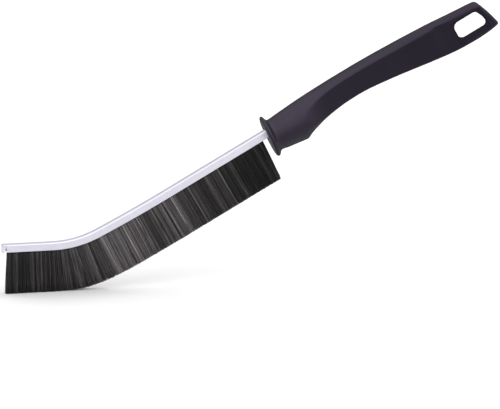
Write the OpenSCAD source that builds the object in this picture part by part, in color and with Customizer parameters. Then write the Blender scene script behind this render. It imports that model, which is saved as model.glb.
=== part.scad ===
// Grout brush: a long narrow hand brush. A strip of filaments, held in a bent metal
// channel, runs level at the tip and then climbs to a moulded handle with a hanging hole.
//
// Frame: the brush stands on the filament ends of its tip, handle rising along +X.
// X runs from the tip to the hanging end, Y across the strip, Z up from the surface the
// filament ends touch. The origin is at the centre of the footprint, on that surface.

/* [Strip] */
// Angle between the level tip and the straight run, degrees
run_angle = 29.2; // [27:0.1:31]
// Length of the level stretch before the bend
tip_run = 24; // [18:0.5:30]
// Radius of the sharper first bend, measured at the channel's lips
bend_r = 55.4; // [45:0.2:70]
// Radius of the gentle second bend, measured at the channel's lips
ease_r = 740; // [600:10:900]
// Angle taken by the gentle second bend, degrees
ease_angle = 3.2; // [2:0.1:5]
// Length of the straight stretch in front of the handle
straight_run = 59.5; // [50:0.5:70]

/* [Channel] */
// Outside width of the channel
chan_w = 4.4; // [4.2:0.1:4.8]
// Height of the channel's web above its lips
chan_h = 4; // [3.8:0.1:4.4]
// Thickness of the sheet
sheet_t = 0.5; // [0.4:0.05:0.5]
// Outside radius of the two folds along the web
fold_r = 1.1; // [0.9:0.1:1.4]
// Gap between the rolled lips that grips the filaments
lip_gap = 3; // [2.8:0.1:3]
// Radius of the rolled bead along each lip
lip_r = 0.35; // [0.3:0.01:0.35]
// Width of the tongue folded down over the end
tongue_w = 3.8; // [3:0.1:4]
// Length of channel held inside the handle
tang_len = 38; // [30:1:45]
// Diameter of the two locking holes through the tang
lock_d = 2.2; // [1.8:0.1:2.4]

/* [Core wire] */
// Diameter of the wire that the filaments fold over
wire_d = 1.4; // [1:0.1:1.5]
// Height of the wire's centre above the lips
wire_h = 2.45; // [2.2:0.05:2.5]

/* [Filaments] */
// Free length of the filaments below the lips
free_len = 21.8; // [18:0.1:24]
// How far the last filaments stop short of the handle, at the lips
end_gap = 4; // [3:0.5:8]
// How far the ends of the last filaments lean towards the tip
end_lean = 1.7; // [0:0.1:3]
// How far the first filaments stand back from the start of the side walls
tip_gap = 0.6; // [0.1:0.1:1.5]
// How far the ends of the first filaments lean towards the tip
tip_lean = 1; // [0:0.1:1.5]

/* [Handle] */
// Radius of the collar flange
flange_r = 11; // [10.5:0.05:11.5]
// Backward tilt of the flange, degrees
flange_tilt = 5.2; // [0:0.1:6]
// Slant of the hanging end, degrees
end_slant = 18.2; // [10:0.1:20]
// Distance from the flange to the hanging end
grip_len = 128; // [127:0.1:129]
// How far the middle of the hanging end bulges past its edges
end_bulge = 0.4; // [0:0.1:1]
// Radius that rounds the edge of the hanging end
end_round = 1.8; // [1.2:0.1:2.2]
// Thickness across the flat pads round the hanging hole
pad_t = 7.8; // [7:0.1:7.8]

/* [Hanging hole] */
// Distance from the flange to the near edge of the hole
hole_start = 109.6; // [109:0.1:111]
// Upper edge of the hole, from the line of the lips
hole_top = 0.7; // [0:0.1:1]
// Lower edge of the hole, from the line of the lips
hole_bottom = -9.6; // [-10:0.1:-9]
// Length of the hole's upper edge
hole_len = 13.8; // [12:0.1:14]
// Radius of the two corners of the hole nearer the grip
hole_near_r = 3.2; // [2:0.1:3.6]
// Radius of the two corners of the hole nearer the hanging end
hole_far_r = 2.2; // [1.5:0.1:2.6]
// How far the far side of the hole bows out
hole_bow = 0.3; // [0:0.1:0.6]
// Width of the bevel round the hole
hole_bevel = 0.9; // [0.4:0.1:1]

/* [Hidden] */

// Places along the strip, in the side plane, before the footprint is centred
web_start = 2.3;                                   // side walls begin
bend_x = web_start + tip_run;                      // first bend begins
bend_a = run_angle - ease_angle;                   // angle of the first bend
lip_z = free_len;                                  // lips above the surface
bend_c = [bend_x, lip_z + bend_r];                 // centre of the first bend
ease_p = bend_c + bend_r * [sin(bend_a), -cos(bend_a)];
ease_c = ease_p + ease_r * [-sin(bend_a), cos(bend_a)];
run_p = ease_c + ease_r * [sin(run_angle), -cos(run_angle)];
collar_p = run_p + straight_run * [cos(run_angle), sin(run_angle)];
centre_x = 129.42;                                 // half of the whole length along X

// Running room between the metal and the plastic moulded round it, and beside the filaments
room = 0.02;
// Top of the filament pack, just under the core wire
pack_top = wire_h - wire_d / 2 - room;

// ---------- placing ----------

// From the side-plane frame to the part's frame
module centred() { translate([-centre_x, 0, 0]) children(); }
// From the handle's own frame (x along the strip from the flange, z square to it, zero at the
// line of the lips) to the side-plane frame
module at_collar() { translate([collar_p.x, 0, collar_p.y]) rotate([0, -run_angle, 0]) children(); }

// Stations along the lips, each [x, z, angle]: the level tip, the two bends, the straight run
bend_steps = 11;
ease_steps = 4;
function on_arc(c, r, a) = [c.x + r * sin(a), c.y - r * cos(a), a];
bend_stations = [for (i = [0 : bend_steps]) on_arc(bend_c, bend_r, bend_a * i / bend_steps)];
ease_stations = [for (i = [0 : ease_steps]) on_arc(ease_c, ease_r, bend_a + ease_angle * i / ease_steps)];
function run_station(d) = [run_p.x + d * cos(run_angle), run_p.y + d * sin(run_angle), run_angle];
// From x = from_x on the level tip to the distance d along the straight run
function stations(from_x, d) = concat([[from_x, lip_z, 0]], bend_stations,
    [for (i = [1 : ease_steps]) ease_stations[i]], [run_station(d)]);
// A point h above the lips at station s
function above(s, h) = [s.x - h * sin(s.z), s.y + h * cos(s.z)];

// A clockwise outline, x across the strip and y up from the lips, carried along the stations;
// cap lists the faces that close its ends
module sweep(outline, st, cap) {
    n = len(outline);
    m = len(st);
    pts = [for (s = st) each [for (q = outline) let (p = above(s, q.y)) [p.x, q.x, p.y]]];
    sides = [for (j = [0 : m - 2], i = [0 : n - 1])
        let (a = j * n + i, b = j * n + (i + 1) % n) each [[a, b, b + n], [a, b + n, a + n]]];
    ends = concat([for (f = cap) turned(f)], [for (f = cap) [for (i = f) (m - 1) * n + i]]);
    polyhedron(points = pts, faces = concat(sides, ends), convexity = 8);
}
// The same outline along a straight line, in the handle's frame
module straight(len, outline) { rotate([90, 0, 90]) linear_extrude(len) polygon(outline); }
// A side outline, y up, given thickness t across the strip
module slab(t, outline) { rotate([90, 0, 0]) translate([0, 0, -t / 2]) linear_extrude(t) polygon(outline); }

function arc(c, r, a0, a1, n) = [for (i = [0 : n]) let (a = a0 + (a1 - a0) * i / n) c + r * [cos(a), sin(a)]];
function turned(t) = [for (i = [len(t) - 1 : -1 : 0]) t[i]];
function mirrored(t) = [for (q = turned(t)) [-q.x, q.y]];

// ---------- channel ----------

// Right half of the channel's section, metal grown by g, from the underside of the rolled lip
// up to the web: its outside and its inside, with the same number of points
fold_c = [chan_w / 2 - fold_r, chan_h - fold_r];
lip_c = [lip_gap / 2 + lip_r, 0.27];
// The bead turns through this angle, in seven steps
function lip_turn(g) = 360 - acos((chan_w / 2 - sheet_t - g - lip_c.x) / (lip_r + g));
function half_outer(g) = concat(arc(lip_c, lip_r + g, -lip_turn(g) * 3 / 7, 0, 3),
    arc(fold_c, fold_r + g, 0, 90, 6));
function half_inner(g) = concat(arc(lip_c, lip_r + g, -lip_turn(g) * 4 / 7, -lip_turn(g), 3),
    arc(fold_c, fold_r - sheet_t - g, 0, 90, 6));
// The whole section, clockwise
function section(g) = concat(half_inner(g), mirrored(half_inner(g)),
    turned(concat(half_outer(g), mirrored(half_outer(g)))));
function section_cap(n) = [for (k = [0 : n / 2 - 2]) each [[k, k + 1, n - 2 - k], [k, n - 2 - k, n - 1 - k]]];

// Tongue of the web: on past the side walls, then folded down over the end of the strip, with
// its edges turned back into two narrow cheeks
module tongue() {
    top = lip_z + chan_h;
    c = [fold_r, top - fold_r];
    low = lip_z - 0.3;
    difference() {
        intersection() {
            slab(tongue_w, concat([[2.1, top - sheet_t], [web_start + 0.6, top - sheet_t], [web_start + 0.6, top]],
                arc(c, fold_r, 90, 180, 8), [[0, low], [1.2, low], [1.2, top - 2.4], [2.1, top - 1.5]]));
            translate([-1, 0, 0]) straight(6, concat([[tongue_w / 2, top + 1], [-tongue_w / 2, top + 1]],
                arc([-tongue_w / 2 + 1.2, low + 1.2], 1.2, 180, 270, 6),
                arc([tongue_w / 2 - 1.2, low + 1.2], 1.2, 270, 360, 6)));
        }
        slab(tongue_w - 2 * sheet_t, concat([[4, top - sheet_t]], arc(c, fold_r - sheet_t, 90, 180, 5),
            [[sheet_t, low - 1], [4, low - 1]]));
    }
}

// Locking holes across the tang, in the handle's frame
module lock_holes(d) {
    for (x = [13, 27]) translate([x, 0, 1.7]) rotate([90, 0, 0])
        cylinder(d = d, h = chan_w + 2, center = true, $fn = 32);
}

// The space the metal takes inside the handle, in the handle's frame
module tang_space() {
    difference() {
        translate([-2, 0, 0]) straight(tang_len + 2 + room, section(room));
        lock_holes(lock_d - 2 * room);
    }
}

module channel() {
    color("lightsteelblue") centred() {
        difference() {
            sweep(section(0), stations(web_start, straight_run + tang_len), section_cap(len(section(0))));
            at_collar() lock_holes(lock_d);
        }
        tongue();
    }
}

// ---------- core wire ----------

wire_n = 16;
module wire(r, st) {
    sweep([for (i = [0 : wire_n - 1]) [0, wire_h] + r * [cos(360 * i / wire_n), -sin(360 * i / wire_n)]],
        st, [[for (i = [0 : wire_n - 1]) i]]);
}

module core_wire() {
    color("silver") centred()
        wire(wire_d / 2, stations(web_start + 0.4, straight_run - end_gap + 0.8));
}

// ---------- filaments ----------

pack_t = lip_gap - 2 * room;
// The pack's side outline along some stations, between its top and the filament ends
function pack_side(st) = concat([for (s = st) above(s, -free_len)], turned([for (s = st) above(s, pack_top)]));

module filaments_tip() {
    color("#2b2a2c") centred() slab(pack_t, [
        [web_start + tip_gap + 0.1, lip_z + pack_top], [web_start + tip_gap, lip_z],
        [web_start + tip_gap - tip_lean, 0], [bend_x, 0], [bend_x, lip_z + pack_top]
    ]);
}

module filaments_bend() {
    color("#3a3839") centred() slab(pack_t, pack_side(bend_stations));
}

module filaments_run() {
    last = run_station(straight_run - end_gap);
    ends = run_station(straight_run - end_gap - end_lean);
    color("#232224") centred() slab(pack_t, concat([for (s = ease_stations) above(s, -free_len)],
        [above(ends, -free_len), above(last, 0), above(last, pack_top)],
        turned([for (s = ease_stations) above(s, pack_top)])));
}

// ---------- handle ----------

// Smooth curve through a table of [x, value] rows
function slope(t, i) = let (a = max(i - 1, 0), b = min(i + 1, len(t) - 1))
    (t[b][1] - t[a][1]) / (t[b][0] - t[a][0]);
function row_of(t, x, i = 0) = i >= len(t) - 2 || x < t[i + 1][0] ? i : row_of(t, x, i + 1);
function curve(t, x0) =
    let (x = min(max(x0, t[0][0]), t[len(t) - 1][0]), i = row_of(t, x),
         h = t[i + 1][0] - t[i][0], u = (x - t[i][0]) / h,
         m0 = slope(t, i) * h, m1 = slope(t, i + 1) * h)
    (2 * u * u * u - 3 * u * u + 1) * t[i][1] + (u * u * u - 2 * u * u + u) * m0
    + (3 * u * u - 2 * u * u * u) * t[i + 1][1] + (u * u * u - u * u) * m1;

// Side outline of the handle: its upper edge, and its lower edge before and behind the belly
top_rows = [[0, 7.1], [2, 7.15], [5, 7.4], [10, 7.8], [18, 8.3], [24, 8.55], [30, 8.7], [40, 8.85], [50, 8.85],
    [60, 8.8], [70, 8.55], [80, 8.2], [90, 7.7], [100, 7.1], [110, 6.2], [120, 5.35], [131, 4.3]];
belly_rows = [[0, -9.3], [2.5, -9.45], [4, -9.75], [6, -10.25], [10, -10.85], [14, -11.45], [16, -11.7], [17.2, -11.65]];
hollow_rows = [[17.2, -11.65], [18.1, -11.25], [19, -10.75], [20, -10.2], [22, -9.4], [24, -8.7], [27, -7.75],
    [30, -6.95], [35, -6.05], [40, -5.4], [45, -5.1], [50, -5], [55, -5.2], [60, -5.7], [70, -7.05], [80, -8.7],
    [90, -10.45], [100, -12.05], [108, -12.95], [114, -13.2], [120, -13.2], [126, -12.8], [132, -11.9]];
belly_x = 17.2;
function top_at(x) = curve(top_rows, x);
function bottom_at(x) = x < belly_x ? curve(belly_rows, x) : curve(hollow_rows, x);

// Half width of the full round section, and of the flat sides that cut it
round_rows = [[0, 8.6], [5, 8.75], [10, 9.1], [18, 9.5], [30, 9.4], [45, 9.2], [60, 9.1], [75, 8.6],
    [90, 7.7], [100, 6.9], [110, 6.2], [130, 5.8]];
flat_rows = [[0, 14], [14, 12.4], [18, 11], [22, 9.6], [26, 8.5], [30, 7.7], [35, 7], [42, 6.5],
    [50, 6.25], [60, 6.1], [75, 5.9], [88, 5.3], [98, 4.6], [106, 4.1], [112, 3.95], [130, 3.95]];
// The sides draw in towards the finger side, but not on the pads by the hanging hole
draft_rows = [[0, 0.06], [80, 0.06], [98, 0.02], [104, 0], [130, 0]];
// The lower half of the section is fuller than an ellipse behind the belly
full_rows = [[0, 2], [14, 2], [30, 2.5], [60, 2.6], [130, 2.6]];

// Flange: a disc whose edge draws in from its full radius at the front and at the back, and
// how much of the section is that disc, down to none behind the fillet
drop_rows = [[0, 0.95], [0.1, 0.62], [0.25, 0.36], [0.45, 0.14], [0.7, 0.02], [1, 0], [1.35, 0.06],
    [1.65, 0.25], [1.9, 0.5], [2.2, 0.6]];
disc_rows = [[0, 1], [1.75, 1], [2, 0.8], [2.3, 0.4], [2.8, 0.12], [3.5, 0.03], [4.4, 0], [5, 0]];
flange_z = -0.5;
flange_set = -0.5;
mid_z = -0.7;
// Lean of a section: back at the flange, forward at the hanging end
function lean(p) = p < 12 ? -flange_tilt * (1 - p / 12)
    : p < 98 ? 0 : end_slant * min(1, (p - 98) / 20);
function bulge(p) = p < 98 ? 0 : end_bulge * min(1, (p - 98) / 20);

// Smaller of two values, with a soft change of radius r between them
function soft_min(a, b, r) = min(a, b) - pow(max(r - abs(a - b), 0), 2) / (4 * r);

ring_n = 48;
// Places of the sections: close together at the flange, the belly and the hanging end
ring_p = [0, 0.1, 0.25, 0.45, 0.7, 1, 1.35, 1.65, 1.85, 2.1, 2.4, 2.8, 3.5, 4.4, 6, 8.5, 11, 13.5, 15.5, 16.6, 17.2,
    18.1, 19.2, 20.8, 22.8, 25, 28, 31.5, 35, 39, 43, 48, 53, 58, 63, 68, 73, 78, 83, 88, 93, 98, 103, 108,
    112, 116, 120, grip_len - 4];
end_steps = 5;

// One section: p its place, cut how far its edge has drawn in to round the hanging end
function ring(p, cut) =
    let (tn = tan(lean(p)),
         zt = top_at(p - tn * (top_at(p) - mid_z)), zb = bottom_at(p - tn * (bottom_at(p) - mid_z)),
         ct = [p - tn * (zt - mid_z), zt], cb = [p - tn * (zb - mid_z), zb],
         c = (ct + cb) / 2, h = norm(ct - cb) / 2, up = (ct - cb) / (2 * h),
         w = curve(round_rows, p), flat = curve(flat_rows, p),
         draft = curve(draft_rows, p), full = curve(full_rows, p),
         disc = curve(disc_rows, p), r = flange_r - curve(drop_rows, p),
         hub = [p + flange_set - tn * (flange_z - mid_z), flange_z])
    [for (i = [0 : ring_n - 1])
        let (a = 360 * i / ring_n, s = sin(a), k = s < 0 ? full : 2,
             z0 = s * h, y0 = w * pow(max(1 - pow(abs(s), k), 0), 1 / k),
             y1 = soft_min(y0, flat + draft * min(z0 - h * 0.7, 0), 0.9),
             y2 = max(y1, 0) * (flat - cut) / flat,
             q = c + up * z0 * (h - cut) / h - [bulge(p) * s * s, 0],
             e = hub + up * r * s)
        [q.x + (e.x - q.x) * disc, (cos(a) < 0 ? -1 : 1) * (y2 + (r * abs(cos(a)) - y2) * disc),
         q.y + (e.y - q.y) * disc]];

module handle_body() {
    rings = concat([for (p = ring_p) ring(p, 0)],
        [for (j = [0 : end_steps]) let (b = 90 * j / end_steps)
            ring(grip_len - end_round * (1 - sin(b)), end_round * (1 - cos(b)) * 0.85)]);
    m = len(rings);
    pts = [for (r = rings) each r];
    sides = [for (j = [0 : m - 2], i = [0 : ring_n - 1])
        let (a = j * ring_n + i, b = j * ring_n + (i + 1) % ring_n, c = a + ring_n, d = b + ring_n)
        each [[a, d, b], [a, c, d]]];
    // each end is closed by strips from side to side
    q = ring_n / 4;
    cap = [for (i = [-q : q - 1])
        let (a = (i + ring_n) % ring_n, b = (i + 1 + ring_n) % ring_n, c = 2 * q - i - 1, d = 2 * q - i)
        each (i == -q ? [[a, b, c]] : i == q - 1 ? [[a, b, d]] : [[a, b, c], [a, c, d]])];
    caps = concat(cap, [for (f = turned(cap)) [for (i = turned(f)) (m - 1) * ring_n + i]]);
    polyhedron(points = pts, faces = concat(sides, caps), convexity = 6);
}

// Corners of the hanging hole in the side plane: [x, z, radius, first angle, last angle]
slant_t = tan(end_slant);
hole_low_x = hole_start + hole_len + (hole_top - hole_bottom) * slant_t;
hole_corners = let (n = hole_near_r, f = hole_far_r) [
    [hole_start + n, hole_top - n, n, 90, 180],
    [hole_start + n, hole_bottom + n, n, 180, 270],
    [hole_low_x - f * (slant_t + 1 / cos(end_slant)), hole_bottom + f, f, 270, 360 + end_slant],
    [hole_start + hole_len + f * (slant_t - 1 / cos(end_slant)), hole_top - f, f, end_slant, 90]];
// Outline of the hole grown by g: an arc at each corner, and the bowed far side
hole_steps = 6;
function corner_points(c, g) = [for (j = [0 : hole_steps])
    let (a = c[3] + (c[4] - c[3]) * j / hole_steps) [c.x, c.y] + (c.z + g) * [cos(a), sin(a)]];
function hole_outline(g) =
    let (near = concat(corner_points(hole_corners[0], g), corner_points(hole_corners[1], g)),
         low = corner_points(hole_corners[2], g), high = corner_points(hole_corners[3], g),
         a = low[hole_steps], b = high[0])
    concat(near, low, [for (t = [0.2 : 0.2 : 0.81])
        a + (b - a) * t + 4 * t * (1 - t) * hole_bow * [cos(end_slant), sin(end_slant)]], high);

// Bevel at the mouth of the hole on the side where y = s
module hole_mouth(s) {
    n = len(hole_outline(0));
    inner = [for (q = hole_outline(0)) [q.x, s * (pad_t / 2 - hole_bevel), q.y]];
    outer = [for (q = hole_outline(hole_bevel + 0.5)) [q.x, s * (pad_t / 2 + 0.5), q.y]];
    pts = concat(inner, outer);
    fwd = [for (i = [0 : n - 1]) i];
    side = [for (i = [0 : n - 1]) let (j = (i + 1) % n) [i, i + n, j + n, j]];
    back = [for (i = [n - 1 : -1 : 0]) i + n];
    all_faces = concat([fwd], side, [back]);
    polyhedron(points = pts, convexity = 4,
        faces = s < 0 ? all_faces : [for (f = all_faces) [for (i = [len(f) - 1 : -1 : 0]) f[i]]]);
}

module handle() {
    color("#2e2b34") centred() at_collar() difference() {
        handle_body();
        // flat pads on both sides of the hanging end
        for (s = [-1, 1]) translate([105, s > 0 ? pad_t / 2 : -pad_t / 2 - 6, -20]) cube([40, 6, 40]);
        // hanging hole with bevelled mouths
        rotate([90, 0, 0]) linear_extrude(20, center = true) polygon(hole_outline(0));
        for (s = [-1, 1]) hole_mouth(s);
        // the metal of the strip's tang
        tang_space();
    }
}

handle();
channel();
core_wire();
filaments_tip();
filaments_bend();
filaments_run();
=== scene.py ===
import math

import bpy
import numpy as np
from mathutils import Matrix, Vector

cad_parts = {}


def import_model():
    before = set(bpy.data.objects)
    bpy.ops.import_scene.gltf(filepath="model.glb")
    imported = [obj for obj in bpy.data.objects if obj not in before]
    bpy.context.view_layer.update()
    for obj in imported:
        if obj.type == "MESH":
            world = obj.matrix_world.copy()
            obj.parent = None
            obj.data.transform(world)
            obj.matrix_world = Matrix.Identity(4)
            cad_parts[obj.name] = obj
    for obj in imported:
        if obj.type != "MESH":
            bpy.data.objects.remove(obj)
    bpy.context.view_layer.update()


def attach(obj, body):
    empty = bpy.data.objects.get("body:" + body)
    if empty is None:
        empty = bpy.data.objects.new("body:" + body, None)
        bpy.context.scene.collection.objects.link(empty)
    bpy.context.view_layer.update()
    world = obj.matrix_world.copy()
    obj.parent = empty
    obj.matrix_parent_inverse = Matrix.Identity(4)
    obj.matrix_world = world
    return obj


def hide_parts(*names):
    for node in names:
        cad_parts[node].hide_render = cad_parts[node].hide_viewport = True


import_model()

MM = 0.001
rng = np.random.default_rng(41)


# ---------------------------------------------------------------- the strip's path, in mm
# x towards the hanging end, z up, before the footprint is centred: the same arcs as the CAD

RUN_A, BEND_A, EASE_A = 29.2, 26.0, 3.2
WALL_X, BEND_X, BEND_R, EASE_R, STRAIGHT = 2.3, 26.3, 55.4, 740.0, 59.5
LIP_Z, FREE, CENTRE_X = 21.8, 21.8, 129.42
BEND_L = BEND_R * math.radians(BEND_A)
EASE_L = EASE_R * math.radians(EASE_A)
TANG = 38.0


def _joints():
    b = math.radians(BEND_A)
    ex = BEND_X + BEND_R * math.sin(b)
    ez = LIP_Z + BEND_R * (1 - math.cos(b))
    r = math.radians(RUN_A)
    rx = ex + EASE_R * (math.sin(r) - math.sin(b))
    rz = ez + EASE_R * (math.cos(b) - math.cos(r))
    return (ex, ez), (rx, rz)


EASE_P, RUN_P = _joints()
COLLAR = (RUN_P[0] + STRAIGHT * math.cos(math.radians(RUN_A)),
          RUN_P[1] + STRAIGHT * math.sin(math.radians(RUN_A)))
RUN_S = BEND_X + BEND_L + EASE_L          # distance along the lips where the straight run begins
COLLAR_S = RUN_S + STRAIGHT


def strip(s):
    """Place on the line of the lips at distance s from x = 0, and the strip's angle there."""
    s = np.asarray(s, float)
    a1 = np.clip((s - BEND_X) / BEND_R, 0, math.radians(BEND_A))
    a2 = np.clip((s - BEND_X - BEND_L) / EASE_R, 0, math.radians(EASE_A))
    ang = a1 + a2
    x = np.minimum(s, BEND_X) + BEND_R * np.sin(a1)
    z = LIP_Z + BEND_R * (1 - np.cos(a1))
    b = math.radians(BEND_A)
    x = x + EASE_R * (np.sin(b + a2) - math.sin(b))
    z = z + EASE_R * (math.cos(b) - np.cos(b + a2))
    over = np.maximum(s - RUN_S, 0)
    x = x + over * math.cos(math.radians(RUN_A))
    z = z + over * math.sin(math.radians(RUN_A))
    return x, z, ang


def above(s, h):
    x, z, a = strip(s)
    return x - h * np.sin(a), z + h * np.cos(a)


def from_collar(xp, zp):
    """From the handle's own frame (x along the strip from the flange, z square to it)."""
    c, s = math.cos(math.radians(RUN_A)), math.sin(math.radians(RUN_A))
    return COLLAR[0] + xp * c - zp * s, COLLAR[1] + xp * s + zp * c


def world(x, y, z):
    return np.stack([(np.asarray(x) - CENTRE_X) * MM, np.asarray(y) * MM + 0 * np.asarray(x),
                     np.asarray(z) * MM], -1)


# ---------------------------------------------------------------- small helpers

def new_object(name, verts, faces, smooth=True, uv=None):
    me = bpy.data.meshes.new(name)
    me.from_pydata([tuple(v) for v in verts], [], [tuple(f) for f in faces])
    me.validate()
    me.update()
    if smooth:
        me.shade_smooth()
    ob = bpy.data.objects.new(name, me)
    bpy.context.scene.collection.objects.link(ob)
    return ob


def grid_faces(m, n, closed=True, flip=False):
    """Quads between m rings of n points."""
    j, i = np.meshgrid(np.arange(m - 1), np.arange(n if closed else n - 1), indexing="ij")
    a = j * n + i
    b = j * n + (i + 1) % n
    q = np.stack([a, b, b + n, a + n], -1).reshape(-1, 4)
    return q[:, ::-1] if flip else q


def applied(ob):
    """The object's mesh with its modifiers applied."""
    dg = bpy.context.evaluated_depsgraph_get()
    me = bpy.data.meshes.new_from_object(ob.evaluated_get(dg), depsgraph=dg)
    old = ob.data
    ob.modifiers.clear()
    ob.data = me
    bpy.data.meshes.remove(old)
    return ob


def arc(cx, cy, r, a0, a1, n):
    t = np.radians(np.linspace(a0, a1, n + 1))
    return np.stack([cx + r * np.cos(t), cy + r * np.sin(t)], 1)


# ---------------------------------------------------------------- materials

class Nodes:
    """Short hand for building a node material."""

    def __init__(self, name):
        self.mat = bpy.data.materials.new(name)
        self.mat.use_nodes = True
        self.t = self.mat.node_tree
        self.t.nodes.clear()
        self.out = self.t.nodes.new("ShaderNodeOutputMaterial")
        self.bsdf = self.t.nodes.new("ShaderNodeBsdfPrincipled")
        self.t.links.new(self.bsdf.outputs[0], self.out.inputs[0])

    def add(self, kind, **kw):
        n = self.t.nodes.new(kind)
        for k, v in kw.items():
            setattr(n, k, v)
        return n

    def link(self, a, b):
        self.t.links.new(a, b)

    def set(self, **kw):
        for k, v in kw.items():
            self.bsdf.inputs[k.replace("_", " ")].default_value = v

    def coords(self, scale=(1, 1, 1), kind="Object", uv=None):
        if uv:
            c = self.add("ShaderNodeUVMap")
            c.uv_map = uv
            src = c.outputs[0]
        else:
            src = self.add("ShaderNodeTexCoord").outputs[kind]
        m = self.add("ShaderNodeMapping")
        m.inputs["Scale"].default_value = scale
        self.link(src, m.inputs["Vector"])
        return m.outputs[0]

    def noise(self, vec, scale, detail=4, rough=0.5, dist=0.0):
        n = self.add("ShaderNodeTexNoise")
        n.inputs["Scale"].default_value = scale
        n.inputs["Detail"].default_value = detail
        n.inputs["Roughness"].default_value = rough
        n.inputs["Distortion"].default_value = dist
        self.link(vec, n.inputs["Vector"])
        return n.outputs["Fac"]

    def ramp(self, fac, stops):
        r = self.add("ShaderNodeValToRGB")
        e = r.color_ramp.elements
        while len(e) < len(stops):
            e.new(0.5)
        for el, (p, c) in zip(e, stops):
            el.position = p
            el.color = c if len(c) == 4 else (*c, 1)
        self.link(fac, r.inputs[0])
        return r.outputs[0]

    def range(self, val, a, b, c, d, smooth=False):
        m = self.add("ShaderNodeMapRange")
        if smooth:
            m.interpolation_type = "SMOOTHSTEP"
        for k, v in zip(("From Min", "From Max", "To Min", "To Max"), (a, b, c, d)):
            m.inputs[k].default_value = v
        self.link(val, m.inputs["Value"])
        return m.outputs[0]

    def math(self, op, a, b=None, clamp=False):
        m = self.add("ShaderNodeMath", operation=op)
        m.use_clamp = clamp
        for i, v in enumerate((a, b)):
            if v is None:
                continue
            if isinstance(v, (int, float)):
                m.inputs[i].default_value = v
            else:
                self.link(v, m.inputs[i])
        return m.outputs[0]

    def mix(self, fac, a, b, blend="MIX"):
        m = self.add("ShaderNodeMix", data_type="RGBA", blend_type=blend)
        for sock, v in (("Factor", fac), ("A", a), ("B", b)):
            s = [i for i in m.inputs if i.name == sock and (sock == "Factor" and i.type == "VALUE"
                 or sock != "Factor" and i.type == "RGBA")][0]
            if isinstance(v, (int, float)):
                s.default_value = v
            elif isinstance(v, tuple):
                s.default_value = v if len(v) == 4 else (*v, 1)
            else:
                self.link(v, s)
        return [o for o in m.outputs if o.type == "RGBA"][0]

    def bump(self, height, strength, dist, normal=None):
        b = self.add("ShaderNodeBump")
        b.inputs["Strength"].default_value = strength
        b.inputs["Distance"].default_value = dist
        self.link(height, b.inputs["Height"])
        if normal is not None:
            self.link(normal, b.inputs["Normal"])
        return b.outputs[0]


def plastic_material():
    k = Nodes("handle_plastic")
    obj = k.coords()
    # slow colour drift of the moulding, and the fine eroded texture of its mould
    flow = k.noise(obj, 38, 3, 0.55, 0.6)
    grain = k.noise(obj, 5200, 2, 0.6)
    dust = k.noise(obj, 900, 5, 0.7)
    col = k.mix(k.range(flow, 0.3, 0.7, 0, 1), (0.0140, 0.0120, 0.0190), (0.0175, 0.0150, 0.0232))
    col = k.mix(k.range(dust, 0.60, 0.78, 0, 0.25), col, (0.029, 0.026, 0.037))
    k.link(col, k.bsdf.inputs["Base Color"])
    rough = k.math("ADD", k.range(flow, 0.3, 0.7, 0.44, 0.50), k.range(dust, 0.4, 0.75, -0.03, 0.05))
    k.link(rough, k.bsdf.inputs["Roughness"])
    # the flat sides are matter than the rounded spine and collar
    geo = k.add("ShaderNodeNewGeometry")
    ns = k.add("ShaderNodeSeparateXYZ")
    k.link(geo.outputs["Normal"], ns.inputs[0])
    side = k.range(k.math("ABSOLUTE", ns.outputs["Y"]), 0.90, 0.985, 0, 1, True)
    ps = k.add("ShaderNodeSeparateXYZ")
    k.link(obj, ps.inputs[0])
    ca, sa = math.cos(math.radians(RUN_A)), math.sin(math.radians(RUN_A))
    along = k.math("ADD", k.math("MULTIPLY", ps.outputs["X"], ca), k.math("MULTIPLY", ps.outputs["Z"], sa))
    c0 = ((COLLAR[0] - CENTRE_X) * ca + COLLAR[1] * sa) * MM
    behind = k.range(along, c0 + 0.018, c0 + 0.034, 0, 1, True)
    flat = k.math("MULTIPLY", side, behind)
    # painted shade: the gloss fades on surfaces that face downwards, so the underside looks darker
    under = k.range(ns.outputs["Z"], -0.10, 0.30, 0.40, 1.0, True)
    gloss = k.math("MULTIPLY", k.math("MULTIPLY", k.range(flat, 0, 1, 0.58, 0.30), k.range(along, c0 + 0.025, c0 + 0.085, 1.0, 0.66)), under)
    # nothing polishes the walls of the hanging hole
    square = k.math("SUBTRACT", k.math("MULTIPLY", ps.outputs["Z"], ca), k.math("MULTIPLY", ps.outputs["X"], sa))
    z0 = (COLLAR[1] * ca - (COLLAR[0] - CENTRE_X) * sa) * MM
    inside = k.math("MULTIPLY", k.range(along, c0 + 0.1080, c0 + 0.1085, 0, 1),
                    k.math("MULTIPLY", k.range(along, c0 + 0.1262, c0 + 0.1270, 1, 0),
                           k.math("MULTIPLY", k.range(square, z0 - 0.0112, z0 - 0.0106, 0, 1),
                                  k.range(square, z0 + 0.0018, z0 + 0.0023, 1, 0))))
    gloss = k.math("MULTIPLY", gloss, k.range(inside, 0, 1, 1.0, 0.22))
    # the fine texture takes the gloss away at a glancing view
    lw = k.add("ShaderNodeLayerWeight")
    lw.inputs["Blend"].default_value = 0.5
    k.link(k.math("MULTIPLY", gloss, k.range(lw.outputs["Facing"], 0.36, 0.70, 1.0, 0.08)),
           k.bsdf.inputs["Specular IOR Level"])
    k.set(IOR=1.49)
    k.bsdf.inputs["Specular Tint"].default_value = (0.86, 0.70, 1.0, 1.0)
    # the parting line of the mould along the middle plane
    sep = k.add("ShaderNodeSeparateXYZ")
    k.link(obj, sep.inputs[0])
    line = k.range(k.math("ABSOLUTE", sep.outputs["Y"]), 0.00006, 0.00022, 1, 0, True)
    n1 = k.bump(line, 0.35, 0.00006)
    n2 = k.bump(grain, 0.16, 0.00004, n1)
    k.link(n2, k.bsdf.inputs["Normal"])
    return k.mat


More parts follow.
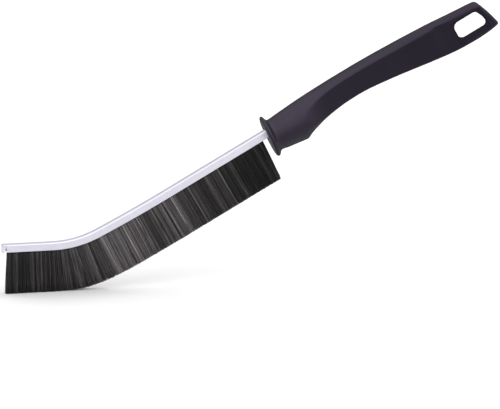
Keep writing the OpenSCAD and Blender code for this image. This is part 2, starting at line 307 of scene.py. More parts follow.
def sheet_material():
    k = Nodes("strip_metal")
    uv = k.coords(uv="Along")                       # u along the strip in metres, v round the section
    lines = k.noise(k.coords((6, 2600, 1), uv="Along"), 1.0, 5, 0.65)
    blotch = k.noise(k.coords(), 260, 3, 0.6, 0.8)
    spangle = k.add("ShaderNodeTexVoronoi")
    spangle.inputs["Scale"].default_value = 420
    k.link(k.coords(), spangle.inputs["Vector"])
    sp = k.add("ShaderNodeSeparateColor")
    k.link(spangle.outputs["Color"], sp.inputs[0])
    col = k.mix(k.range(blotch, 0.3, 0.7, 0, 1), (0.67, 0.66, 0.74), (0.73, 0.72, 0.80))
    col = k.mix(k.range(sp.outputs[0], 0, 1, 0.0, 0.15), col, (0.72, 0.72, 0.80))
    col = k.mix(k.range(lines, 0.56, 0.72, 0, 0.20), col, (0.62, 0.62, 0.68))
    k.link(col, k.bsdf.inputs["Base Color"])
    rough = k.math("ADD", k.range(lines, 0.3, 0.7, 0.36, 0.48), k.range(blotch, 0.3, 0.7, -0.03, 0.04))
    k.link(rough, k.bsdf.inputs["Roughness"])
    k.set(Metallic=1.0)
    n = k.bump(lines, 0.22, 0.00003)
    n = k.bump(blotch, 0.10, 0.00012, n)
    k.link(n, k.bsdf.inputs["Normal"])
    return k.mat


def wire_material():
    k = Nodes("wire_metal")
    lines = k.noise(k.coords((40, 2400, 2400)), 1.0, 4, 0.6)
    stain = k.noise(k.coords(), 300, 3, 0.6)
    col = k.mix(k.range(stain, 0.35, 0.7, 0, 1), (0.56, 0.56, 0.57), (0.40, 0.39, 0.39))
    k.link(col, k.bsdf.inputs["Base Color"])
    k.link(k.range(lines, 0.3, 0.7, 0.30, 0.48), k.bsdf.inputs["Roughness"])
    k.set(Metallic=1.0)
    k.link(k.bump(lines, 0.25, 0.00003), k.bsdf.inputs["Normal"])
    return k.mat


def filament_material():
    k = Nodes("filaments")
    tone = k.add("ShaderNodeAttribute", attribute_name="tone")
    along = k.add("ShaderNodeAttribute", attribute_name="along")
    streak = k.noise(k.coords(), 1500, 2, 0.5)
    # the tone attribute carries painted light and shade along the strip into the base colour
    col = k.ramp(tone.outputs["Fac"], [(0.0, (0.0, 0.0, 0.0)), (1.0, (0.520, 0.475, 0.500))])
    col = k.mix(k.range(streak, 0.35, 0.7, 0, 0.30), col, (0.010, 0.0095, 0.0105))
    # cut ends are duller and paler
    tip = k.range(along.outputs["Fac"], 0.985, 1.0, 0, 0.30)
    col = k.mix(tip, col, (0.04, 0.038, 0.038))
    k.link(col, k.bsdf.inputs["Base Color"])
    k.link(k.range(streak, 0.3, 0.7, 0.38, 0.52), k.bsdf.inputs["Roughness"])
    k.set(Specular_IOR_Level=0.25, IOR=1.52)
    return k.mat


# ---------------------------------------------------------------- handle

def hermite(rows, x):
    """The CAD's curve through a table of rows."""
    t = np.array(rows, float)
    n = len(t)
    lo = np.maximum(np.arange(n) - 1, 0)
    hi = np.minimum(np.arange(n) + 1, n - 1)
    m = (t[hi, 1] - t[lo, 1]) / (t[hi, 0] - t[lo, 0])
    x = np.clip(np.asarray(x, float), t[0, 0], t[-1, 0])
    i = np.clip(np.searchsorted(t[:, 0], x, side="right") - 1, 0, n - 2)
    h = t[i + 1, 0] - t[i, 0]
    u = (x - t[i, 0]) / h
    return ((2 * u**3 - 3 * u**2 + 1) * t[i, 1] + (u**3 - 2 * u**2 + u) * m[i] * h
            + (3 * u**2 - 2 * u**3) * t[i + 1, 1] + (u**3 - u**2) * m[i + 1] * h)


TOP = [[0, 7.1], [2, 7.15], [5, 7.4], [10, 7.8], [18, 8.3], [24, 8.55], [30, 8.7], [40, 8.85], [50, 8.85],
       [60, 8.8], [70, 8.55], [80, 8.2], [90, 7.7], [100, 7.1], [110, 6.2], [120, 5.35], [131, 4.3]]
BELLY = [[0, -9.3], [2.5, -9.45], [4, -9.75], [6, -10.25], [10, -10.85], [14, -11.45], [16, -11.7], [17.2, -11.65]]
HOLLOW = [[17.2, -11.65], [18.1, -11.25], [19, -10.75], [20, -10.2], [22, -9.4], [24, -8.7], [27, -7.75],
          [30, -6.95], [35, -6.05], [40, -5.4], [45, -5.1], [50, -5], [55, -5.2], [60, -5.7], [70, -7.05],
          [80, -8.7], [90, -10.45], [100, -12.05], [108, -12.95], [114, -13.2], [120, -13.2], [126, -12.8],
          [132, -11.9]]
BELLY_X = 17.2
ROUND = [[0, 8.6], [5, 8.75], [10, 9.1], [18, 9.5], [30, 9.4], [45, 9.2], [60, 9.1], [75, 8.6],
         [90, 7.7], [100, 6.9], [110, 6.2], [130, 5.8]]
FLAT = [[0, 14], [14, 12.4], [18, 11], [22, 9.6], [26, 8.5], [30, 7.7], [35, 7], [42, 6.5],
        [50, 6.25], [60, 6.1], [75, 5.9], [88, 5.3], [98, 4.6], [106, 4.1], [112, 3.95], [130, 3.95]]
DRAFT = [[0, 0.06], [80, 0.06], [98, 0.02], [104, 0], [130, 0]]
FULL = [[0, 2], [14, 2], [30, 2.5], [60, 2.6], [130, 2.6]]
DROP = [[0, 0.95], [0.1, 0.62], [0.25, 0.36], [0.45, 0.14], [0.7, 0.02], [1, 0], [1.35, 0.06],
        [1.65, 0.25], [1.9, 0.5], [2.2, 0.6]]
DISC = [[0, 1], [1.75, 1], [2, 0.8], [2.3, 0.4], [2.8, 0.12], [3.5, 0.03], [4.4, 0], [5, 0]]
FLANGE_R, FLANGE_TILT, FLANGE_Z, FLANGE_SET = 11.0, 5.2, -0.5, -0.5
MID_Z, END_SLANT, GRIP, END_BULGE, END_ROUND, PAD = -0.7, 18.2, 128.0, 0.4, 1.8, 7.8
RING_N = 144


def top_at(x):
    return hermite(TOP, x)


def bottom_at(x):
    x = np.asarray(x, float)
    return np.where(x < BELLY_X, hermite(BELLY, x), hermite(HOLLOW, x))


def lean(p):
    if p < 12:
        return -FLANGE_TILT * (1 - p / 12)
    return 0 if p < 98 else END_SLANT * min(1, (p - 98) / 20)


def soft_min(a, b, r):
    return np.minimum(a, b) - np.maximum(r - np.abs(a - b), 0) ** 2 / (4 * r)


def handle_ring(p, cut, shrink=1.0):
    tn = math.tan(math.radians(lean(p)))
    zt = float(top_at(p - tn * (top_at(p) - MID_Z)))
    zb = float(bottom_at(p - tn * (bottom_at(p) - MID_Z)))
    ct = np.array([p - tn * (zt - MID_Z), zt])
    cb = np.array([p - tn * (zb - MID_Z), zb])
    c, d = (ct + cb) / 2, ct - cb
    h = np.linalg.norm(d) / 2
    up = d / (2 * h)
    w, flat, draft, full = (float(hermite(t, p)) for t in (ROUND, FLAT, DRAFT, FULL))
    disc, r = float(hermite(DISC, p)), FLANGE_R - float(hermite(DROP, p))
    hub = np.array([p + FLANGE_SET - tn * (FLANGE_Z - MID_Z), FLANGE_Z])
    a = 2 * math.pi * np.arange(RING_N) / RING_N
    s = np.sin(a)
    k = np.where(s < 0, full, 2.0)
    y0 = w * np.maximum(1 - np.abs(s) ** k, 0) ** (1 / k)
    z0 = s * h
    y1 = soft_min(y0, flat + draft * np.minimum(z0 - h * 0.7, 0), 0.9)
    y2 = np.maximum(y1, 0) * (flat - cut) / flat
    bulge = 0 if p < 98 else END_BULGE * min(1, (p - 98) / 20)
    z0 = z0 * (h - cut) / h * shrink
    y2 = y2 * shrink
    q = c[None] + up[None] * z0[:, None]
    q[:, 0] -= bulge * (s * shrink) ** 2
    e = hub[None] + up[None] * (r * s * shrink)[:, None]
    yd = r * np.abs(np.cos(a)) * shrink
    x = q[:, 0] + (e[:, 0] - q[:, 0]) * disc
    z = q[:, 1] + (e[:, 1] - q[:, 1]) * disc
    y = np.where(np.cos(a) < 0, -1, 1) * (y2 + (yd - y2) * disc)
    if p > 100:
        y = np.clip(y, -PAD / 2, PAD / 2)
    return np.stack([x, y, z], 1)


def handle_piece(mat):
    ps = np.concatenate([np.linspace(0, 0.4, 7), np.linspace(0.5, 2.4, 16), np.linspace(2.55, 4.5, 10),
                         np.linspace(5, 15.5, 16), np.linspace(16, 20.5, 19), np.linspace(21.2, 124.6, 118)])
    rings = [handle_ring(0, 0, f) for f in (0.04, 0.25, 0.5, 0.75, 0.92)]
    rings += [handle_ring(p, 0) for p in ps]
    for b in np.linspace(20, 90, 10):
        b = math.radians(b)
        rings.append(handle_ring(GRIP - END_ROUND * (1 - math.sin(b)), END_ROUND * (1 - math.cos(b)) * 0.85))
    cut = END_ROUND * 0.85
    rings += [handle_ring(GRIP, cut, f) for f in (0.93, 0.8, 0.6, 0.35, 0.1)]
    rings = np.array(rings)
    # ease the table's joins a little, away from the flange, the belly's corner and the end
    m = len(rings)
    for _ in range(3):
        sm = rings.copy()
        sm[1:-1] = (rings[:-2] + 2 * rings[1:-1] + rings[2:]) / 4
        xm = rings[:, :, 0].mean(1)
        wgt = np.clip((xm - 24) / 8, 0, 1) * np.clip((118 - xm) / 8, 0, 1)
        rings = rings * (1 - wgt[:, None, None]) + sm * wgt[:, None, None]
    x, z = from_collar(rings[..., 0], rings[..., 2])
    v = world(x, rings[..., 1], z).reshape(-1, 3)
    faces = [tuple(f) for f in grid_faces(m, RING_N, flip=False)]
    faces.append(tuple(range(RING_N - 1, -1, -1)))
    faces.append(tuple((m - 1) * RING_N + i for i in range(RING_N)))
    ob = new_object("handle_body", v, faces)

    cutter = hole_cutter()
    mod = ob.modifiers.new("hole", "BOOLEAN")
    mod.operation, mod.object, mod.solver = "DIFFERENCE", cutter, "EXACT"
    applied(ob)
    bpy.data.objects.remove(cutter)
    me = ob.data
    me.shade_smooth()
    me.set_sharp_from_angle(angle=math.radians(42))
    me.materials.clear()
    me.materials.append(mat)
    return ob


def hole_outline(g):
    t = math.tan(math.radians(END_SLANT))
    c = math.cos(math.radians(END_SLANT))
    hs, ht, hb, hl, n, f, bow = 109.6, 0.7, -9.6, 13.8, 3.2, 2.2, 0.3
    low_x = hs + hl + (ht - hb) * t
    k = 10
    near = np.concatenate([arc(hs + n, ht - n, n + g, 90, 180, k), arc(hs + n, hb + n, n + g, 180, 270, k)])
    low = arc(low_x - f * (t + 1 / c), hb + f, f + g, 270, 360 + END_SLANT, k)
    high = arc(hs + hl + f * (t - 1 / c), ht - f, f + g, END_SLANT, 90, k)
    u = np.linspace(0, 1, 12)[1:-1, None]
    out = np.array([[math.cos(math.radians(END_SLANT)), math.sin(math.radians(END_SLANT))]])
    side = low[-1] + (high[0] - low[-1]) * u + 4 * u * (1 - u) * bow * out
    pts = np.concatenate([near, low, side, high])
    # even spacing, so that the bevel's quads stay regular
    loop = np.concatenate([pts, pts[:1]])
    d = np.concatenate([[0], np.cumsum(np.linalg.norm(np.diff(loop, axis=0), axis=1))])
    s = np.linspace(0, d[-1], 161)[:-1]
    return np.stack([np.interp(s, d, loop[:, 0]), np.interp(s, d, loop[:, 1])], 1)


def hole_cutter():
    """The hanging hole with rounded, bevelled mouths."""
    half = PAD / 2
    prof = [(1.30, half + 1.2), (1.30, half + 0.02), (1.12, half - 0.04), (0.95, half - 0.12), (0.62, half - 0.42),
            (0.30, half - 0.74), (0.12, half - 0.96), (0.03, half - 1.18), (0.0, half - 1.45)]
    rows = [(g, y) for g, y in prof] + [(0.0, 0.0)] + [(g, -y) for g, y in prof[::-1]]
    rings = []
    for g, y in rows:
        o = hole_outline(g)
        x, z = from_collar(o[:, 0], o[:, 1])
        rings.append(world(x, np.full(len(x), y), z))
    n = len(rings[0])
    v = np.concatenate(rings)
    faces = [tuple(f) for f in grid_faces(len(rings), n, flip=False)]
    faces.append(tuple(range(n - 1, -1, -1)))
    faces.append(tuple((len(rings) - 1) * n + i for i in range(n)))
    ob = new_object("hole_cutter", v, faces)
    import bmesh
    bm = bmesh.new()
    bm.from_mesh(ob.data)
    bmesh.ops.recalc_face_normals(bm, faces=bm.faces)
    bm.to_mesh(ob.data)
    bm.free()
    return ob


# ---------------------------------------------------------------- channel

CH_W, CH_H, SHEET, FOLD_R, LIP_GAP, LIP_R = 4.4, 4.0, 0.5, 1.1, 3.0, 0.35


def channel_section():
    """Closed outline of the sheet, x across and y above the lips."""
    fx, fy = CH_W / 2 - FOLD_R, CH_H - FOLD_R
    lx, ly = LIP_GAP / 2 + LIP_R, 0.27
    turn = 360 - math.degrees(math.acos((CH_W / 2 - SHEET - lx) / LIP_R))
    half = np.concatenate([arc(fx, fy, FOLD_R, 90, 0, 12), [[CH_W / 2, 1.6], [CH_W / 2, 0.4]],
                           arc(lx, ly, LIP_R, 0, -turn, 22), [[CH_W / 2 - SHEET, 1.6]],
                           arc(fx, fy, FOLD_R - SHEET, 0, 90, 8)])
    web = np.array([[0.0, CH_H - SHEET]])
    other = half[::-1] * [-1, 1]
    top = np.array([[0.0, CH_H]])
    return np.concatenate([half, web, other, top])


def tube_uv(me, n, us, vs, name="Along"):
    """u from the ring, v from the place in the ring, both in metres."""
    lay = me.uv_layers.new(name=name)
    idx = np.empty(len(me.loops), np.int32)
    me.loops.foreach_get("vertex_index", idx)
    uv = np.zeros((len(idx), 2), np.float32)
    ok = idx < len(us) * n
    uv[ok, 0] = us[np.minimum(idx[ok] // n, len(us) - 1)]
    uv[ok, 1] = vs[idx[ok] % n]
    lay.data.foreach_set("uv", uv.ravel())


def face_out(ob):
    import bmesh
    bm = bmesh.new()
    bm.from_mesh(ob.data)
    bmesh.ops.recalc_face_normals(bm, faces=bm.faces)
    bm.to_mesh(ob.data)
    bm.free()


def channel_piece(mat):
    sec = channel_section()
    n = len(sec)
    s = np.concatenate([[WALL_X], np.linspace(WALL_X + 0.25, BEND_X, 22), np.linspace(BEND_X + 0.6, BEND_X + BEND_L, 44),
                        np.linspace(BEND_X + BEND_L + 2, RUN_S, 18), np.linspace(RUN_S + 3, COLLAR_S - 1, 16),
                        [COLLAR_S + 1.5]])
    rings = []
    cen = sec.mean(0)
    for i, si in enumerate(s):
        # slight waviness left by bending and rolling the sheet
        wob = 0.03 * math.sin(si * 0.9) * math.exp(-((si - BEND_X - 12) / 16) ** 2)
        q = sec.copy()
        low = np.clip((0.6 - q[:, 1]) / 1.2, 0, 1)
        q[:, 0] += np.sign(q[:, 0]) * wob * low
        x, z = above(np.full(n, si), q[:, 1])
        rings.append(world(x, q[:, 0], z))
    v = np.concatenate(rings)
    faces = [tuple(f) for f in grid_faces(len(s), n)]
    # the cut end of the walls: strips between outside and inside
    half = n // 2
    ob = new_object("channel_sheet", v, faces + [tuple(range(n - 1, -1, -1)),
                                                 tuple((len(s) - 1) * n + i for i in range(n))])
    face_out(ob)
    per =np.concatenate([[0], np.cumsum(np.linalg.norm(np.diff(sec, axis=0), axis=1))]) * MM
    tube_uv(ob.data, n, s * MM, per)
    ob.data.set_sharp_from_angle(angle=math.radians(50))
    ob.data.materials.append(mat)
    tongue = tongue_piece(mat)
    bpy.ops.object.select_all(action="DESELECT")
    ob.select_set(True)
    tongue.select_set(True)
    bpy.context.view_layer.objects.active = ob
    bpy.ops.object.join()
    ob.name = "channel_strip"
    return ob


def tongue_piece(mat):
    """The web running on past the side walls and folded down over the end, with its edges
    turned back into two narrow cheeks."""
    top, low = LIP_Z + CH_H, LIP_Z - 0.3
    # the part inside the channel lies within the thickness of its web
    mid = np.concatenate([[[WALL_X + 1.4, top - 0.2]], [[WALL_X + 0.4, top - 0.18]], [[WALL_X - 0.01, top]],
                          [[1.75, top]], [[1.4, top]],
                          arc(FOLD_R, top - FOLD_R, FOLD_R, 90, 180, 14),
                          np.stack([np.full(14, 0.0), np.linspace(top - FOLD_R - 0.2, low, 14)], 1)])
    d = np.gradient(mid, axis=0)
    d /= np.linalg.norm(d, axis=1)[:, None]
    nrm = np.stack([d[:, 1], -d[:, 0]], 1)          # out of the fold
    nrm *= np.sign(np.sum(nrm * (mid - np.array([3.0, top - 3.0])), 1))[:, None]
    length = np.concatenate([[0], np.cumsum(np.linalg.norm(np.diff(mid, axis=0), axis=1))])
    rings = []
    r = 0.62                                         # outside radius of the turned edges
    for i in range(len(mid)):
        left = length[-1] - length[i]
        w = 1.9 - 0.75 * (1 - math.sqrt(max(1 - max(1 - left / 1.1, 0) ** 2, 0)))
        # depth of the cheeks: they close the side under the web, and are narrow beside the tab
        ww, depth = w - 0.015, 1.05                  # round the fold
        if i < 5:                                    # on the web
            depth, ww = (0.64, 0.9, 1.25, 1.25, 1.25)[i], (1.6, 1.8, 1.9, 1.9, 1.9)[i]
        elif i >= 19:                                # on the tab
            depth = 2.2 if mid[i, 1] > LIP_Z + 1.8 else 1.2
        outer = np.concatenate([arc(ww - r, -r, r, 90, 0, 6), [[ww, -max(depth, r + 0.02) * 0.7 - 0.2]],
                                [[ww, -max(depth, r + 0.02)]]])
        inner = np.concatenate([[[ww - SHEET, -max(depth, r + 0.02)]], [[ww - SHEET, -max(depth, r + 0.02) * 0.7 - 0.2]],
                                arc(ww - r, -r, r - SHEET, 0, 90, 4)])
        half = np.concatenate([outer, inner])
        sec = np.concatenate([half, half[::-1] * [-1, 1]])
        pts = [(mid[i, 0] + nrm[i, 0] * q[1], q[0], mid[i, 1] + nrm[i, 1] * q[1]) for q in sec]
        rings.append(pts)
    rings = np.array(rings)
    n = rings.shape[1]
    v = world(rings[..., 0], rings[..., 1], rings[..., 2]).reshape(-1, 3)
    ob = new_object("tongue", v, [tuple(f) for f in grid_faces(len(rings), n, flip=True)]
                    + [tuple(range(n)), tuple((len(rings) - 1) * n + i for i in range(n - 1, -1, -1))])
    import bmesh
    bm = bmesh.new()
    bm.from_mesh(ob.data)
    bmesh.ops.recalc_face_normals(bm, faces=bm.faces)
    bm.to_mesh(ob.data)
    bm.free()
    per = np.concatenate([[0], np.cumsum(np.linalg.norm(np.diff(rings[5], axis=0), axis=1))]) * MM
    tube_uv(ob.data, n, -length * MM, per)
    ob.data.set_sharp_from_angle(angle=math.radians(50))
    ob.data.materials.append(mat)
    return ob


# ---------------------------------------------------------------- core wire

def wire_piece(mat):
    s = np.concatenate([[WALL_X + 0.4, WALL_X + 0.5], np.linspace(WALL_X + 1, BEND_X, 8),
                        np.linspace(BEND_X + 1, BEND_X + BEND_L, 26), np.linspace(BEND_X + BEND_L + 4, RUN_S, 9),
                        [COLLAR_S - 3.3, COLLAR_S - 3.2]])
    a = 2 * math.pi * np.arange(20) / 20
    rings = []
    for i, si in enumerate(s):
        r = 0.62 if i in (0, len(s) - 1) else 0.7
        x, z = above(np.full(20, si), 2.45 + r * np.sin(a))
        rings.append(world(x, r * np.cos(a), z))
    ob = new_object("core_wire_round", np.concatenate(rings),
                    [tuple(f) for f in grid_faces(len(s), 20, flip=True)]
                    + [tuple(range(20)), tuple((len(s) - 1) * 20 + i for i in range(19, -1, -1))])
    face_out(ob)
    ob.data.set_sharp_from_angle(angle=math.radians(50))
    ob.data.materials.append(mat)
    return ob


# ---------------------------------------------------------------- filaments

FIL_END_S = COLLAR_S - 4.0                   # last filaments, at the lips
SEGS, SIDES = 5, 4


def smooth_random(s, step, amp, seed):
    """A random function of s with features about step long."""
    g = np.random.default_rng(seed)
    k = np.arange(-2, int(500 / step) + 4)
    v = g.normal(0, 1, len(k))
    u = s / step
    i = np.floor(u).astype(int)
    f = u - i
    f = f * f * (3 - 2 * f)
    i = i + 2
    return amp * (v[i] * (1 - f) + v[i + 1] * f)


def clump_table():
    """Tufts that the filaments gather in: centre, width, lean and tone of each."""
    g = np.random.default_rng(7)
    s, rows = WALL_X - 1, []
    while s < COLLAR_S:
        w = float(np.clip(g.gamma(3.2, 0.62), 0.7, 5.0))
        rows.append((s + w / 2, w, g.normal(0, 0.005), g.normal(0, 1)))
        s += w
    return np.array(rows)


CLUMPS = clump_table()


def filaments(name, s0, s1, per_mm, seed, mat):
    g = np.random.default_rng(seed)
    n = int((s1 - s0) * per_mm)
    # a jittered lattice: lanes across the strip, places along it
    lanes = 10
    lane = np.arange(n) % lanes
    s = s0 + (s1 - s0) * (np.arange(n) + g.uniform(-0.8, 0.8, n) * lanes * 0.5) / n
    s = np.clip(s, s0 + 0.02, s1 - 0.02)
    y0 = (lane - (lanes - 1) / 2) / ((lanes - 1) / 2) * 1.36 + g.normal(0, 0.05, n)
    y0 = np.clip(y0, -1.42, 1.42)
    ci = np.clip(np.searchsorted(CLUMPS[:, 0] + CLUMPS[:, 1] / 2, s), 0, len(CLUMPS) - 1)
    # tufts differ a little from lane to lane, so their edges aren't planes
    shift = smooth_random(s + 37 * lane, 2.3, 0.25, 5)
    ci = np.clip(np.searchsorted(CLUMPS[:, 0] + CLUMPS[:, 1] / 2, s + shift), 0, len(CLUMPS) - 1)
    cc, cw, cl, ct = CLUMPS[ci].T

    x0, z0, ang = strip(s)
    t_in = s - WALL_X - 0.4
    t_out = FIL_END_S - s
    lean_a = (-0.042 * np.exp(-t_in / 1.6)                         # the first ones splay out at the tip
              + 0.030 * np.exp(-((s - 14) / 9) ** 2)
              + 0.055 * np.exp(-((s - 40) / 9) ** 2)               # the bend pushes them back a little
              - 0.075 * np.exp(-t_out / 2.6))                      # the last ones lean to the tip
    lean_a = lean_a + cl * np.clip(np.minimum(t_in, t_out) / 3, 0, 1) + g.normal(0, 0.008, n)
    gather = -(s + shift - cc) * g.uniform(0.0, 0.06, n) * np.clip(np.minimum(t_in, t_out) / 2, 0, 1)
    stray = g.random(n) < 0.035
    lean_a = np.where(stray & (np.minimum(t_in, t_out) > 3), lean_a + g.normal(0, 0.05, n), lean_a)
    splay = y0 * g.uniform(0.20, 0.48, n) + g.normal(0, 0.14, n)   # how far the end moves across
    # behind the bend they are a little longer
    longer = 0.71 * np.clip((s - 30) / 8, 0, 1) + 0.22 * np.exp(-((s - 60) / 10) ** 2)
    cut = FREE + longer - np.abs(g.normal(0, 0.08, n)) * np.clip(t_in / 2, 0, 1) \
        - np.where((g.random(n) < 0.03) & (t_in > 1.5), g.uniform(0.3, 1.6, n), 0)
    cut = np.where(stray, cut - g.uniform(0, 0.5, n), cut)
    bowx, bowy = g.normal(0, 0.16, n), g.normal(0, 0.10, n) + 0.10 * y0
    wave = g.uniform(0, 2 * math.pi, n)
    waves = g.normal(0, 0.035, n)
    rad = g.normal(0.135, 0.012, n)

    u = np.linspace(0, 1, SEGS + 1)
    h = 0.9 - (cut[:, None] + 0.9) * u[None]                        # height above the lips
    below = np.clip(-h / FREE, 0, 1)
    along = lean_a[:, None] * (-h) + gather[:, None] * below ** 0.9 \
        + bowx[:, None] * np.sin(math.pi * below) + waves[:, None] * np.sin(wave[:, None] + 7 * below) * below
    across = y0[:, None] + splay[:, None] * below ** 1.15 + bowy[:, None] * np.sin(math.pi * below)
    across = np.where(h > 0, np.clip(across, -1.34, 1.34), across)
    ca, sa = np.cos(ang)[:, None], np.sin(ang)[:, None]
    X = x0[:, None] + along * ca - h * sa
    Z = z0[:, None] + along * sa + h * ca
    Z = np.maximum(Z, 0.004)

    phase = g.uniform(0, math.pi / 2, n)
    v = np.empty((n, SEGS + 1, SIDES, 3))
    for k in range(SIDES):
        a = phase[:, None] + 2 * math.pi * k / SIDES
        r = rad[:, None] * np.ones_like(u)[None]
        e = r * np.cos(a)
        f = r * np.sin(a)
        v[:, :, k, 0] = X + e * ca
        v[:, :, k, 1] = across + f
        v[:, :, k, 2] = Z + e * sa
    v[..., 2] = np.maximum(v[..., 2], 0.0)
    base = (np.arange(n) * (SEGS + 1) * SIDES)[:, None, None]
    j, k = np.meshgrid(np.arange(SEGS), np.arange(SIDES), indexing="ij")
    a = j * SIDES + k
    b = j * SIDES + (k + 1) % SIDES
    quads = np.stack([a, a + SIDES, b + SIDES, b], -1).reshape(1, -1, 4) + base
    ends = np.array([SEGS * SIDES + np.array([3, 2, 1, 0]), [0, 1, 2, 3]])[None] + base    # free end, root
    faces = np.concatenate([quads, ends], 1).reshape(-1, 4)
    verts = world(v[..., 0], v[..., 1], v[..., 2]).reshape(-1, 3)

    me = bpy.data.meshes.new(name)
    me.vertices.add(len(verts))
    me.vertices.foreach_set("co", verts.astype(np.float32).ravel())
    me.loops.add(len(faces) * 4)
    me.loops.foreach_set("vertex_index", faces.astype(np.int32).ravel())
    me.polygons.add(len(faces))
    me.polygons.foreach_set("loop_start", np.arange(0, len(faces) * 4, 4, dtype=np.int32))
    me.update(calc_edges=True)
    me.validate()
    me.shade_smooth()

    # tone of each filament: painted light and shade for how its stretch lies to the light, then its tuft, its strand,
    # itself
    edge = np.abs(s + shift - cc) / (cw / 2)
    strand = smooth_random(s + 0.35 * np.abs(lane - 4.5) + 200, 0.42, 1, 17)
    # single strands stand out more in the dark stretches at both ends
    apart = 0.42 + 0.26 * np.clip((32 - s) / 8, 0, 1) + 0.40 * np.clip((s - 114) / 10, 0, 1)
    tone = GAIN * PAINTED_LIGHT_RUN(s) * np.exp(0.17 * ct + apart * strand + 0.42 * g.normal(0, 1, n) - 0.13 - 0.37 * apart ** 2)
    # painted shade: filaments at the edges of wide tufts are darkened, as if shaded between the tufts
    tone = tone * np.where((edge > 0.80) & (cw > 1.0), 0.42, 1.0)
    tone = np.where(stray, tone * 1.7 + 0.02, tone)
    tone = np.clip(tone, 0.003, 1)
    per = (SEGS + 1) * SIDES
    at = me.attributes.new("tone", "FLOAT", "POINT")
    at.data.foreach_set("value", np.repeat(tone, per).astype(np.float32))
    at = me.attributes.new("along", "FLOAT", "POINT")
    at.data.foreach_set("value", np.tile(np.repeat(u, SIDES), n).astype(np.float32))

    # each filament has its own cell in the map
    cols = int(math.ceil(math.sqrt(n * 3.2)))
    rows = int(math.ceil(n / cols))
    cx, cy = np.arange(n) % cols, np.arange(n) // cols
    w, hh = 1 / cols, 1 / rows
    uv = np.empty((n, SEGS * SIDES + 2, 4, 2))
    q = np.stack([np.stack([kk.ravel(), jj.ravel()], -1) for jj, kk in
                  ((j, k), (j + 1, k), (j + 1, k + 1), (j, k + 1))], 1).astype(float)   # quad corners
    uv[:, :-2, :, 0] = (cx[:, None, None] + 0.12 + 0.76 * q[None, :, :, 0] / SIDES) * w
    uv[:, :-2, :, 1] = (cy[:, None, None] + 0.03 + 0.90 * q[None, :, :, 1] / SEGS) * hh
    uv[:, -2:, :, 0] = (cx[:, None, None] + 0.12 + 0.76 * np.array([0, 0.33, 0.66, 1.0])[None, None]) * w
    uv[:, -2, :, 1] = (cy[:, None] + np.array([0.94, 0.97, 0.97, 0.94])[None]) * hh
    uv[:, -1, :, 1] = (cy[:, None] + np.array([0.025, 0.005, 0.005, 0.025])[None]) * hh
    lay = me.uv_layers.new(name="OFBake")
    lay.data.foreach_set("uv", uv.astype(np.float32).ravel())

    ob = bpy.data.objects.new(name, me)
    bpy.context.scene.collection.objects.link(ob)
    me.materials.append(mat)
    return ob


GAIN = 1.08


def PAINTED_LIGHT_RUN(s):
    """Painted light and shade along the strip, in the filaments' base colour, for how the set of the filaments turns
    them to and from the light: one long painted highlight behind the bend, one short one nearer the handle, and painted
    shade at the end under the collar."""
    long_painted_highlight = 0.235 * np.exp(-((s - 61.0) / 15.5) ** 2)
    short_painted_highlight = 0.280 * np.exp(-((s - 91.0) / 6.5) ** 2)
    collar_painted_shade = np.clip((s - 122.0) / 9.0, 0, 1)
    return (0.088 + long_painted_highlight + short_painted_highlight) * (1 - 0.78 * collar_painted_shade)


# ---------------------------------------------------------------- build

plastic, sheet, wire_mat, fibre = plastic_material(), sheet_material(), wire_material(), filament_material()

handle = handle_piece(plastic)
handle.name = "handle_moulding"
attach(handle, "root")
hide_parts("handle")

channel = channel_piece(sheet)
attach(channel, "root")
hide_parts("channel")

wire = wire_piece(wire_mat)
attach(wire, "root")
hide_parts("core_wire")

for name, node, s0, s1, per_mm, seed in (
        ("tip_filaments", "filaments_tip", WALL_X + 0.50, BEND_X, 46, 11),
        ("bend_filaments", "filaments_bend", BEND_X, BEND_X + BEND_L, 46, 12),
        ("run_filaments", "filaments_run", BEND_X + BEND_L, FIL_END_S, 46, 13)):
    piece = filaments(name, s0, s1, per_mm, seed, fibre)
    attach(piece, "root")
    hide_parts(node)


# ---------------------------------------------------------------- floor, light, camera

def floor():
    me = bpy.data.meshes.new("floor")
    r = 9.0
    me.from_pydata([(-r, -r, 0), (r, -r, 0), (r, r, 0), (-r, r, 0)], [], [(0, 1, 2, 3)])
    ob = bpy.data.objects.new("floor", me)
    bpy.context.scene.collection.objects.link(ob)
    k = Nodes("floor_white")
    k.set(Roughness=0.75, Specular_IOR_Level=0.2)
    # the far floor is a little paler, so that it has no visible edge
    far = k.add("ShaderNodeVectorMath")
    far.operation = "LENGTH"
    k.link(k.coords(), far.inputs[0])
    k.link(k.mix(k.range(far.outputs["Value"], 0.5, 1.8, 0, 1), (0.83, 0.83, 0.83), (0.91, 0.91, 0.91)),
           k.bsdf.inputs["Base Color"])
    me.materials.append(k.mat)


def area(name, loc, target, size, power, color=(1, 1, 1), size_y=None):
    li = bpy.data.lights.new(name, "AREA")
    li.energy = power
    li.color = color
    li.shape = "RECTANGLE"
    li.size = size
    li.size_y = size_y or size
    ob = bpy.data.objects.new(name, li)
    bpy.context.scene.collection.objects.link(ob)
    ob.location = loc
    d = Vector(target) - Vector(loc)
    ob.rotation_euler = d.to_track_quat("-Z", "Y").to_euler()
    return ob


floor()
SKY_LOW, SKY_TOP, SKY_FRONT = 0.56, 0.75, 0.80
w = bpy.data.worlds.new("studio")
bpy.context.scene.world = w
w.use_nodes = True
wt = w.node_tree
wt.nodes.clear()
sky_out = wt.nodes.new("ShaderNodeOutputWorld")
seen, sky = wt.nodes.new("ShaderNodeBackground"), wt.nodes.new("ShaderNodeBackground")
seen.inputs[0].default_value = (1, 1, 1, 1)
seen.inputs[1].default_value = 1.0
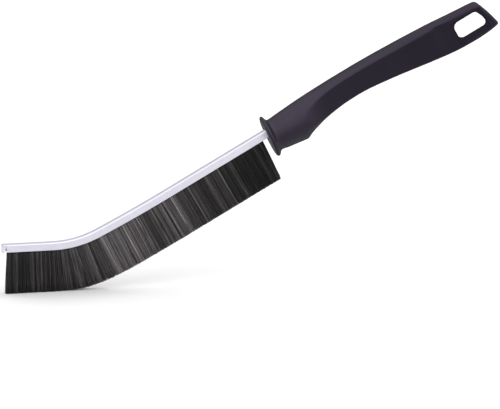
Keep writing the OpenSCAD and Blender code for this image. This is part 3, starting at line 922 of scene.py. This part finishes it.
# the tent is dim towards the horizon, brighter overhead, and has one wide soft light in
# front of the brush, halfway up
geo = wt.nodes.new("ShaderNodeTexCoord")
sep = wt.nodes.new("ShaderNodeSeparateXYZ")
wt.links.new(geo.outputs["Generated"], sep.inputs[0])
sq = wt.nodes.new("ShaderNodeMath")
sq.operation = "POWER"
sq.use_clamp = False
up_z = wt.nodes.new("ShaderNodeMath")
up_z.operation = "MAXIMUM"
up_z.inputs[1].default_value = 0.0
wt.links.new(sep.outputs["Z"], up_z.inputs[0])
wt.links.new(up_z.outputs[0], sq.inputs[0])
sq.inputs[1].default_value = 2.0
gain = wt.nodes.new("ShaderNodeMath")
gain.operation = "MULTIPLY_ADD"
gain.inputs[1].default_value = SKY_TOP
gain.inputs[2].default_value = SKY_LOW
wt.links.new(sq.outputs[0], gain.inputs[0])
FRONT_AZ, FRONT_EL = math.radians(-12.0), math.radians(50.0)
dot = wt.nodes.new("ShaderNodeVectorMath")
dot.operation = "DOT_PRODUCT"
dot.inputs[1].default_value = (math.sin(FRONT_AZ) * math.cos(FRONT_EL), -math.cos(FRONT_AZ) * math.cos(FRONT_EL),
                               math.sin(FRONT_EL))
wt.links.new(geo.outputs["Generated"], dot.inputs[0])
lobe = []
for operation, value in (("MAXIMUM", 0.0), ("POWER", 4.0), ("MULTIPLY", SKY_FRONT), ("ADD", 0.0)):
    step = wt.nodes.new("ShaderNodeMath")
    step.operation = operation
    step.inputs[1].default_value = value
    wt.links.new(lobe[-1].outputs[0] if lobe else dot.outputs["Value"], step.inputs[0])
    lobe.append(step)
wt.links.new(gain.outputs[0], lobe[-1].inputs[1])
sky.inputs[0].default_value = (1, 1, 1, 1)
wt.links.new(lobe[-1].outputs[0], sky.inputs[1])
path = wt.nodes.new("ShaderNodeLightPath")
pick = wt.nodes.new("ShaderNodeMixShader")
wt.links.new(path.outputs["Is Camera Ray"], pick.inputs[0])
wt.links.new(sky.outputs[0], pick.inputs[1])
wt.links.new(seen.outputs[0], pick.inputs[2])
wt.links.new(pick.outputs[0], sky_out.inputs[0])

# a soft light far off, nearly in line with the handle: its shadow gathers under the tip
area("far_light", (2.50, 0.32, 1.66), (-0.10, 0, 0), 0.50, 40.0).visible_glossy = False

AZ, EL, DIST = math.radians(-12.0), math.radians(14.0), 7.0
back = Vector((math.sin(AZ) * math.cos(EL), -math.cos(AZ) * math.cos(EL), math.sin(EL)))
right = Vector((math.cos(AZ), math.sin(AZ), 0.0))
up = back.cross(right)
# the photograph's middle, on the plane y = 0, by its scale of 0.511 mm a pixel
sx, sy = 0.511 * 250.0, 0.511 * (300.0 - 204.5)
xt = sx / math.cos(AZ)
zt = (sy + xt * math.sin(AZ) * math.sin(EL)) / math.cos(EL)
aim = Vector(((xt - 1.2 - CENTRE_X) * MM, 0.0, (zt - 3.5) * MM))
cam = bpy.data.cameras.new("camera")
cam.lens = 36.0 * DIST / (0.511 * 500.0 * MM)
cam.sensor_width = 36.0
cam.clip_end = 60.0
cam_ob = bpy.data.objects.new("camera", cam)
bpy.context.scene.collection.objects.link(cam_ob)
cam_ob.location = aim + back * DIST
cam_ob.rotation_euler = (-back).to_track_quat("-Z", "Y").to_euler()
bpy.context.scene.camera = cam_ob
bpy.context.scene.view_settings.view_transform = "Standard"
bpy.context.scene.view_settings.look = "None"

bpy.context.view_layer.update()
